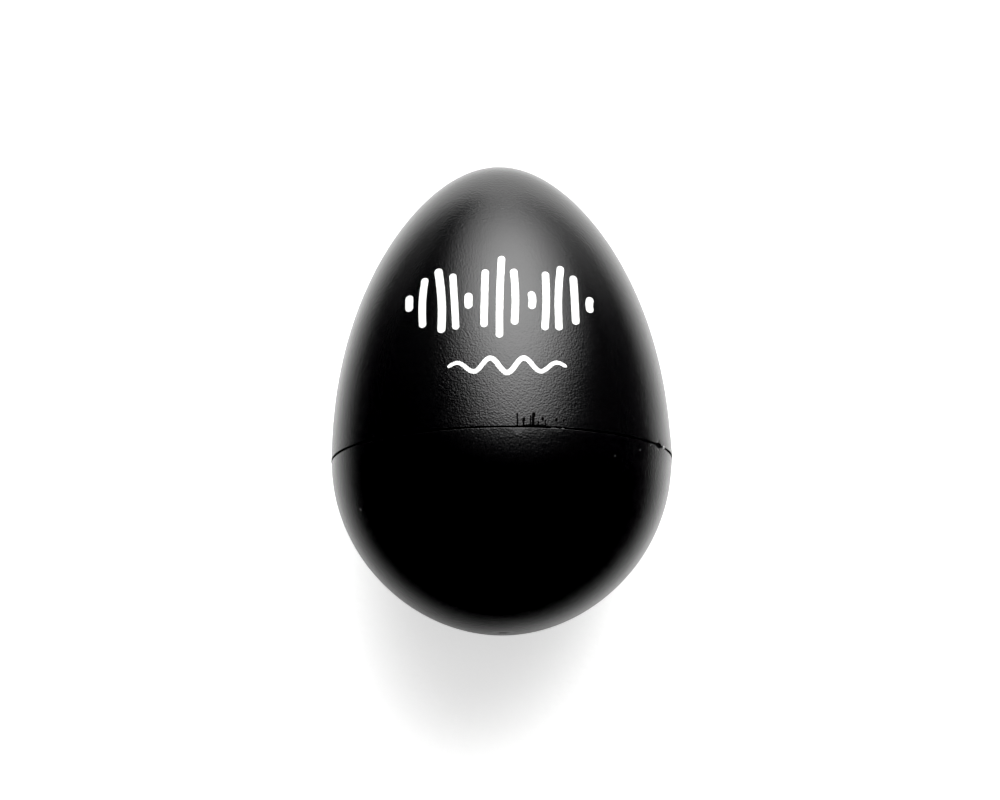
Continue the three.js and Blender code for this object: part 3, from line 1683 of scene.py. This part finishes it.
@dataclass
class ShotCharge:
    """The loose steel shot, each pellet a little out of round with one small flat.

    Args:
        detail: Subdivisions of a pellet.
        wobble: How far a pellet is out of round.
        wobble_scale: How quickly that changes round the pellet.
        wobble_shift: How far apart the turned pellets' patterns lie.
        flat: Share of the radius at which the flat cuts it.
        seed: Seed of the pellets' turns.
    """

    detail: int = 3
    wobble: float = 0.02 * MM
    wobble_scale: float = 1.3
    wobble_shift: float = 9.0
    flat: float = 0.985
    seed: int = 5

    def pellet(self, node: str, turn: Vector) -> bpy.types.Object:
        """Builds one pellet where its node lies.

        Args:
            node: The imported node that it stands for.
            turn: Direction of its flat.

        Returns:
            The pellet.
        """
        low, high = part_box(node)
        centre = (low + high) / 2
        radius = (high.z - low.z) / 2
        bm = bmesh.new()
        bmesh.ops.create_icosphere(bm, subdivisions=self.detail, radius=radius)
        for vert in bm.verts:
            direction = vert.co.normalized()
            pattern = noise.noise(direction * self.wobble_scale + turn * self.wobble_shift)
            out_of_round = self.wobble * pattern
            vert.co += direction * (out_of_round - self.wobble / 2)
            over = vert.co.dot(turn) - self.flat * radius
            if over > 0:
                vert.co -= turn * over
        bmesh.ops.translate(bm, verts=bm.verts, vec=centre)
        return mesh_object(f"{node}_pellet_steel", bm, smooth_angle=50)

    def build(self) -> None:
        """Builds and finishes every pellet, each on its own body."""
        hand = random.Random(self.seed)
        for joint in frame["joints"]:
            node = frame["record"]["behaviour"]["bodies"][joint["child"]][0]
            turn = Vector([hand.gauss(0, 1) for _ in range(3)]).normalized()
            dress(self.pellet(node, turn), Finish.STEEL, body=joint["child"], replaced=(node,))


# ---------------------------------------------------------------------------
# Studio
# ---------------------------------------------------------------------------


@dataclass
class Studio:
    """White table, one large soft light beyond the pointed end, weak fill, and the camera.

    Args:
        form: The egg's form.
        view_elevation: The camera's height above the table, in degrees, from the rounded end.
        view_distance: Its distance from the parting plane's centre.
        lens: Its focal length, in millimetres.
        framing: How far above the parting plane's centre the camera aims.
        framing_x: How far to the side of it the camera aims.
        roll: The camera's roll, in degrees.
        table_reach: Half the table's width.
        table_glow: Light that the table gives off by itself.
        card: Lowest and highest x and y of the card, painted with light and shade, that the egg
            mirrors.
        sheet_zenith: The light sheet's angle from straight up, in degrees.
        sheet_azimuth: Its angle from +Y towards +X, in degrees.
        sheet_distance: Its distance.
        sheet_glows: Its patches of light.
        fill_height: Height and width of the fill light.
        fill_power: Power of the fill light.
        room: Brightness of the room round the table.
        backdrop: Brightness of what the camera sees past the table.
        black: Level that the film shows as black.
    """

    form: EggForm
    view_elevation: float = 78.66
    view_distance: float = 0.45
    lens: float = 130.9
    framing: float = 7.64 * MM
    framing_x: float = -0.1 * MM
    roll: float = 0.73
    table_reach: float = 0.4
    table_glow: float = 0.58
    card: tuple[float, float, float, float] = (-350 * MM, 350 * MM, -60 * MM, 500 * MM)
    sheet_zenith: float = 52.0
    sheet_azimuth: float = 11.0
    sheet_distance: float = 0.8
    sheet_glows: tuple[Glow, ...] = (
        Glow(radiance=5.5, rise=0.09, half_width=0.51, half_height=0.56, edge=3.2),
        Glow(radiance=1.9, rise=-0.12, half_width=0.79, half_height=1.0, edge=7.0),
    )
    fill_height: float = 1.2
    fill_power: float = 4.0
    room: float = 0.02
    backdrop: float = 1.1
    black: float = 0.0055

    def sheet(self, name: str, corners: tuple[float, float, float, float], height: float,
              paper: Recipe) -> bpy.types.Object:
        """Lays a flat white sheet.

        Args:
            name: Its name.
            corners: Its lowest and highest x and y.
            height: Its height.
            paper: What it is made of.

        Returns:
            The sheet.
        """
        low_x, high_x, low_y, high_y = corners
        bm = bmesh.new()
        bmesh.ops.create_grid(bm, x_segments=16, y_segments=16, size=0.5)
        bmesh.ops.scale(bm, verts=bm.verts, vec=(high_x - low_x, high_y - low_y, 1))
        middle = ((low_x + high_x) / 2, (low_y + high_y) / 2, height)
        bmesh.ops.translate(bm, verts=bm.verts, vec=middle)
        obj = mesh_object(name, bm)
        obj.data.materials.append(paper.build())
        return obj

    def table(self) -> None:
        """Lays the white table, and the narrow card on it, painted with light and shade, that the
        egg mirrors.
        """
        height = CAD_BOX[0][2] - self.form.lip_height - self.form.lip_spring
        reach = self.table_reach
        corners = (-reach, reach, -reach, reach)
        table = self.sheet("table", corners, height, TablePaper(glow=self.table_glow))
        table.visible_glossy = False
        # The card's colour and glow are painted light and shade, seen only in the egg's reflections.
        card = self.sheet("painted_light_card", self.card, height + HAIR, PaintedLightCard())
        card.visible_camera = False
        card.visible_diffuse = False
        card.visible_shadow = False

    def light_sheet(self) -> None:
        """Hangs the soft light sheet beyond the pointed end, facing the egg."""
        down, round_z = math.radians(self.sheet_zenith), math.radians(self.sheet_azimuth)
        direction = Vector(
            (math.sin(down) * math.sin(round_z), math.sin(down) * math.cos(round_z), math.cos(down))
        )
        bm = bmesh.new()
        bmesh.ops.create_grid(bm, x_segments=1, y_segments=1, size=self.sheet_distance)
        obj = mesh_object("light_sheet", bm)
        obj.data.materials.append(LightSheet(self.sheet_distance, self.sheet_glows).build())
        obj.matrix_world = Matrix.Translation(direction * self.sheet_distance) @ (
            direction.to_track_quat("Z", "Y").to_matrix().to_4x4()
        )
        obj.visible_camera = False
        obj.visible_shadow = False

    def fill(self) -> None:
        """Adds a weak, wide light overhead that softens the egg's shadow."""
        light = bpy.data.lights.new("fill_light", "AREA")
        light.size = self.fill_height
        light.energy = self.fill_power
        obj = bpy.data.objects.new("fill_light", light)
        bpy.context.scene.collection.objects.link(obj)
        obj.location = (0, 0, self.fill_height)
        obj.visible_camera = False
        obj.visible_glossy = False

    def surroundings(self) -> None:
        """Makes the room: white behind the table for the camera, dim for everything else."""
        world = bpy.data.worlds.new("studio_room")
        bpy.context.scene.world = world
        world.use_nodes = True
        nodes, links = world.node_tree.nodes, world.node_tree.links
        nodes.clear()
        path = nodes.new("ShaderNodeLightPath")
        dim = nodes.new("ShaderNodeBackground")
        dim.inputs["Color"].default_value = (self.room, self.room, self.room, 1)
        white = nodes.new("ShaderNodeBackground")
        white.inputs["Color"].default_value = WHITE
        white.inputs["Strength"].default_value = self.backdrop
        mix = nodes.new("ShaderNodeMixShader")
        output = nodes.new("ShaderNodeOutputWorld")
        links.new(path.outputs["Is Camera Ray"], mix.inputs[0])
        links.new(dim.outputs[0], mix.inputs[1])
        links.new(white.outputs[0], mix.inputs[2])
        links.new(mix.outputs[0], output.inputs["Surface"])

    def camera(self) -> None:
        """Sets the camera over the egg."""
        data = bpy.data.cameras.new("camera")
        data.lens = self.lens
        data.sensor_width = 36
        data.clip_start = 0.01
        obj = bpy.data.objects.new("camera", data)
        bpy.context.scene.collection.objects.link(obj)
        rise = math.radians(self.view_elevation)
        back = Vector((0, -math.cos(rise), math.sin(rise)))
        up = Vector((0, math.sin(rise), math.cos(rise)))
        place = back * self.view_distance
        aim = up * self.framing + Vector((self.framing_x, 0, 0))
        turn = (place - aim).to_track_quat("Z", "Y").to_matrix().to_4x4()
        roll = Matrix.Rotation(math.radians(-self.roll), 4, "Z")
        obj.matrix_world = Matrix.Translation(place) @ turn @ roll
        bpy.context.scene.camera = obj

    def exposure(self) -> None:
        """Sets a plain film response with deep blacks."""
        view = bpy.context.scene.view_settings
        view.view_transform = "Standard"
        view.look = "None"
        view.exposure = 0.0
        view.use_curve_mapping = True
        view.curve_mapping.black_level = (self.black, self.black, self.black)
        view.curve_mapping.update()

    def build(self) -> None:
        """Builds the whole studio."""
        self.table()
        self.light_sheet()
        self.fill()
        self.surroundings()
        self.camera()
        self.exposure()


def main() -> None:
    """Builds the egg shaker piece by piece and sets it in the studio."""
    logging.basicConfig(level=logging.INFO, format="%(name)s: %(message)s")
    form = EggForm.from_frame()
    UpperShell(form, "upper_shell", form.cap).build()
    LowerShell(form, "lower_shell", form.cup).build()
    Cement(form).build()
    PrintedMotif(form).build()
    Swarf(form).build()
    ShotCharge().build()
    Studio(form).build()


if __name__ == "__main__":
    main()
